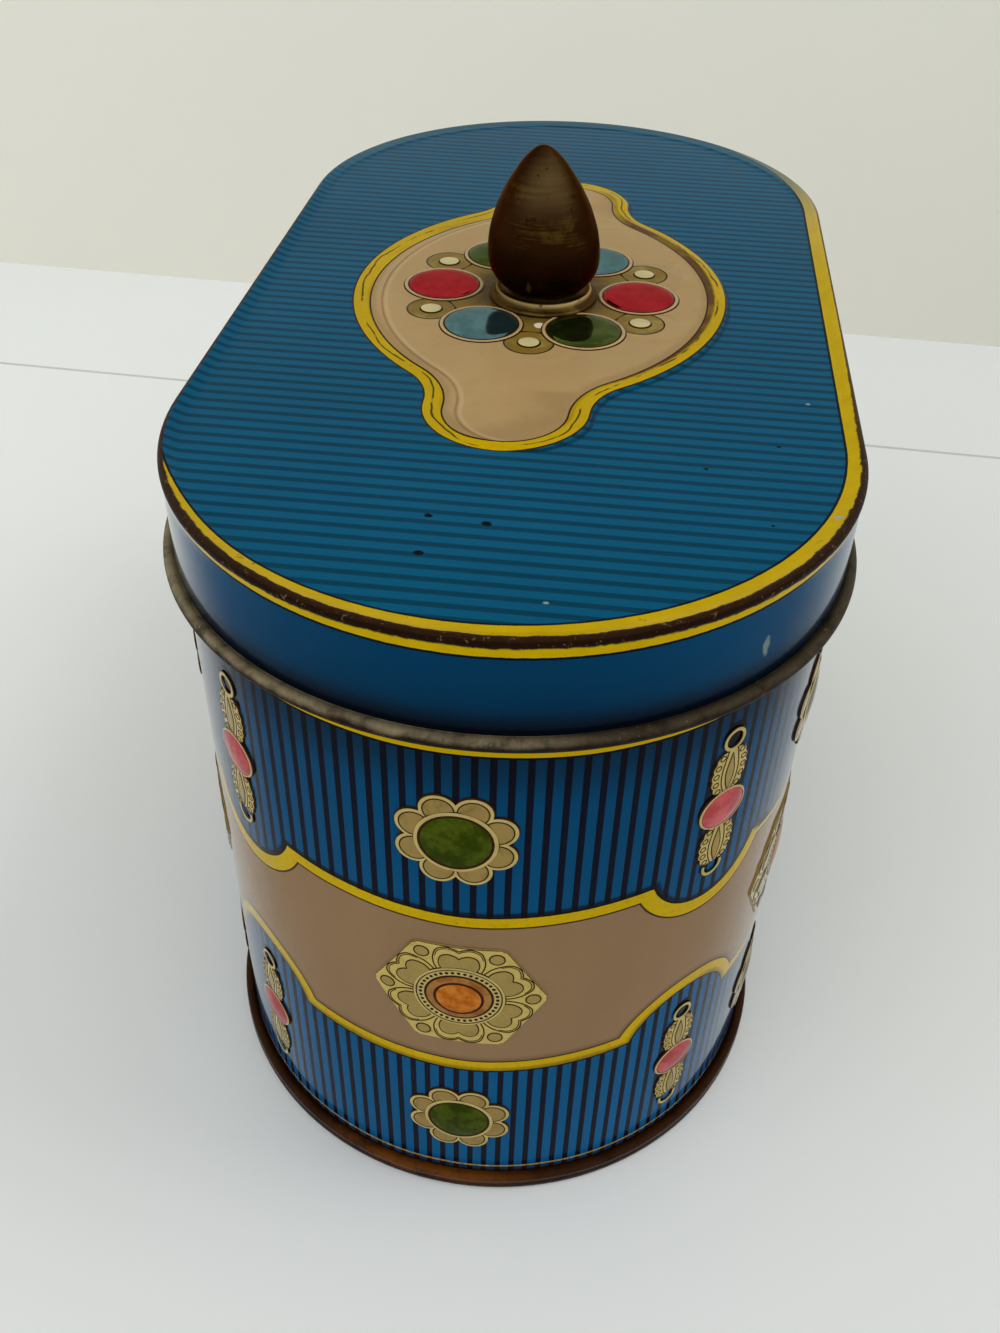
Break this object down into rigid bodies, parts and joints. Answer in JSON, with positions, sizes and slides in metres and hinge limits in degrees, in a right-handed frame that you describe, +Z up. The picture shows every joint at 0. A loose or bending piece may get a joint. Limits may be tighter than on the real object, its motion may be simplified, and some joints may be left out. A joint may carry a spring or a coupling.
{
  "type": "tin canister",
  "caption": "Obround tinplate canister with a slip lid, striped print, raised jewelled ornament and a brass bud knob.",
  "frame": {"origin": "on the table under the middle of the base", "axes": "+Z up, +Y along the long way of the tin, +X across it; the pictured end faces -Y"},
  "size_m": [0.1052, 0.1992, 0.1514],
  "materials": {
    "printed_tin": "printed and varnished tinplate, worn at the edges",
    "base_tin": "browned lacquered tinplate",
    "printed_tin_lid": "printed and varnished tinplate, worn at the edges",
    "dark_brass": "brass darkened with age",
    "worn_brass": "handled brass",
    "steel": "plated steel"
  },
  "bodies": {
    "canister": {"body_wall": "printed_tin", "base_plate": "base_tin"},
    "lid": {"lid_shell": "printed_tin_lid", "finial": "dark_brass", "finial_collar": "worn_brass", "knob_stud": "steel", "stud_washer": "steel", "stud_nut": "steel"}
  },
  "joints": [
    {"name": "lid_lift", "type": "slide", "parent": "canister", "child": "lid", "axis": [0, 0, 1], "range_m": [0, 0.06]}
  ]
}
